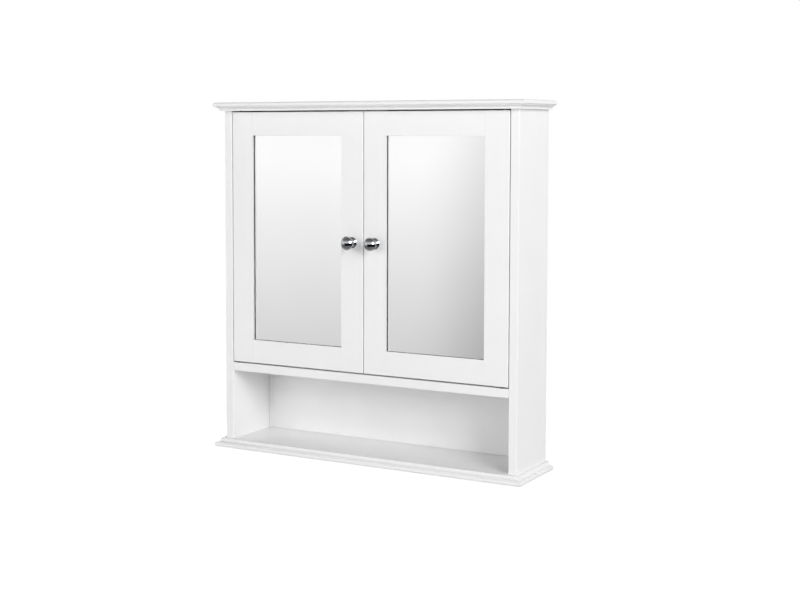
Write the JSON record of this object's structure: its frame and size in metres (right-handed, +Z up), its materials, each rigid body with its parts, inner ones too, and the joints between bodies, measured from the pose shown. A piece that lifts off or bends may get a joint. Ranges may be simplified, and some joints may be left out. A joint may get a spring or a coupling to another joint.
{
  "type": "mirror cabinet",
  "caption": "Wall-hung white cabinet with a pair of framed mirror doors over an open shelf, between moulded top and bottom boards.",
  "frame": {"origin": "midway between the two wall-screw holes, on the plane of the cabinet's back", "axes": "+X to the viewer's right, +Y into the wall, +Z up"},
  "size_m": [0.56, 0.138, 0.58],
  "materials": {
    "white_paint": "white satin paint on MDF",
    "white_backboard": "white painted backboard",
    "brown_hardboard": "raw hardboard",
    "beech": "raw fluted beech",
    "mirror_glass": "silvered float glass",
    "chrome": "polished chrome plate",
    "zinc": "bright zinc plate",
    "grey_plastic": "dark grey nylon",
    "white_plastic": "white moulded plastic",
    "ferrite": "sintered ferrite"
  },
  "bodies": {
    "cabinet": {"top_board": "white_paint", "bottom_board": "white_paint", "left_side_panel": "white_paint", "right_side_panel": "white_paint", "fixed_shelf": "white_paint", "adjustable_shelf": "white_paint", "back_panel": "white_backboard", "hanging_rail": "white_paint", "carcass_dowels": "beech", "cam_locks": "zinc", "cam_bolts": "zinc", "shelf_pins": "zinc", "base_screws": "zinc", "back_nails": "zinc", "top_pivot_bushes": "grey_plastic", "bottom_pivot_bushes": "grey_plastic", "catch_case": "white_plastic", "catch_magnets": "ferrite", "catch_pole_plates": "zinc", "catch_screws": "zinc"},
    "left_door": {"left_outer_stile": "white_paint", "left_inner_stile": "white_paint", "left_top_rail": "white_paint", "left_bottom_rail": "white_paint", "left_frame_dowels": "beech", "left_mirror": "mirror_glass", "left_backing_panel": "brown_hardboard", "left_retaining_beads": "white_paint", "left_knob": "chrome", "left_knob_screw": "zinc", "left_pivot_pins": "zinc", "left_strike_plate": "zinc", "left_strike_screw": "zinc"},
    "right_door": {"right_outer_stile": "white_paint", "right_inner_stile": "white_paint", "right_top_rail": "white_paint", "right_bottom_rail": "white_paint", "right_frame_dowels": "beech", "right_mirror": "mirror_glass", "right_backing_panel": "brown_hardboard", "right_retaining_beads": "white_paint", "right_knob": "chrome", "right_knob_screw": "zinc", "right_pivot_pins": "zinc", "right_strike_plate": "zinc", "right_strike_screw": "zinc"}
  },
  "joints": [
    {"name": "left_door_hinge", "type": "hinge", "parent": "cabinet", "child": "left_door", "pos_m": [-0.241, -0.109, -0.1909], "axis": [0, 0, -1], "range_deg": [0, 125]},
    {"name": "right_door_hinge", "type": "hinge", "parent": "cabinet", "child": "right_door", "pos_m": [0.241, -0.109, -0.1909], "axis": [0, 0, 1], "range_deg": [0, 125]}
  ]
}
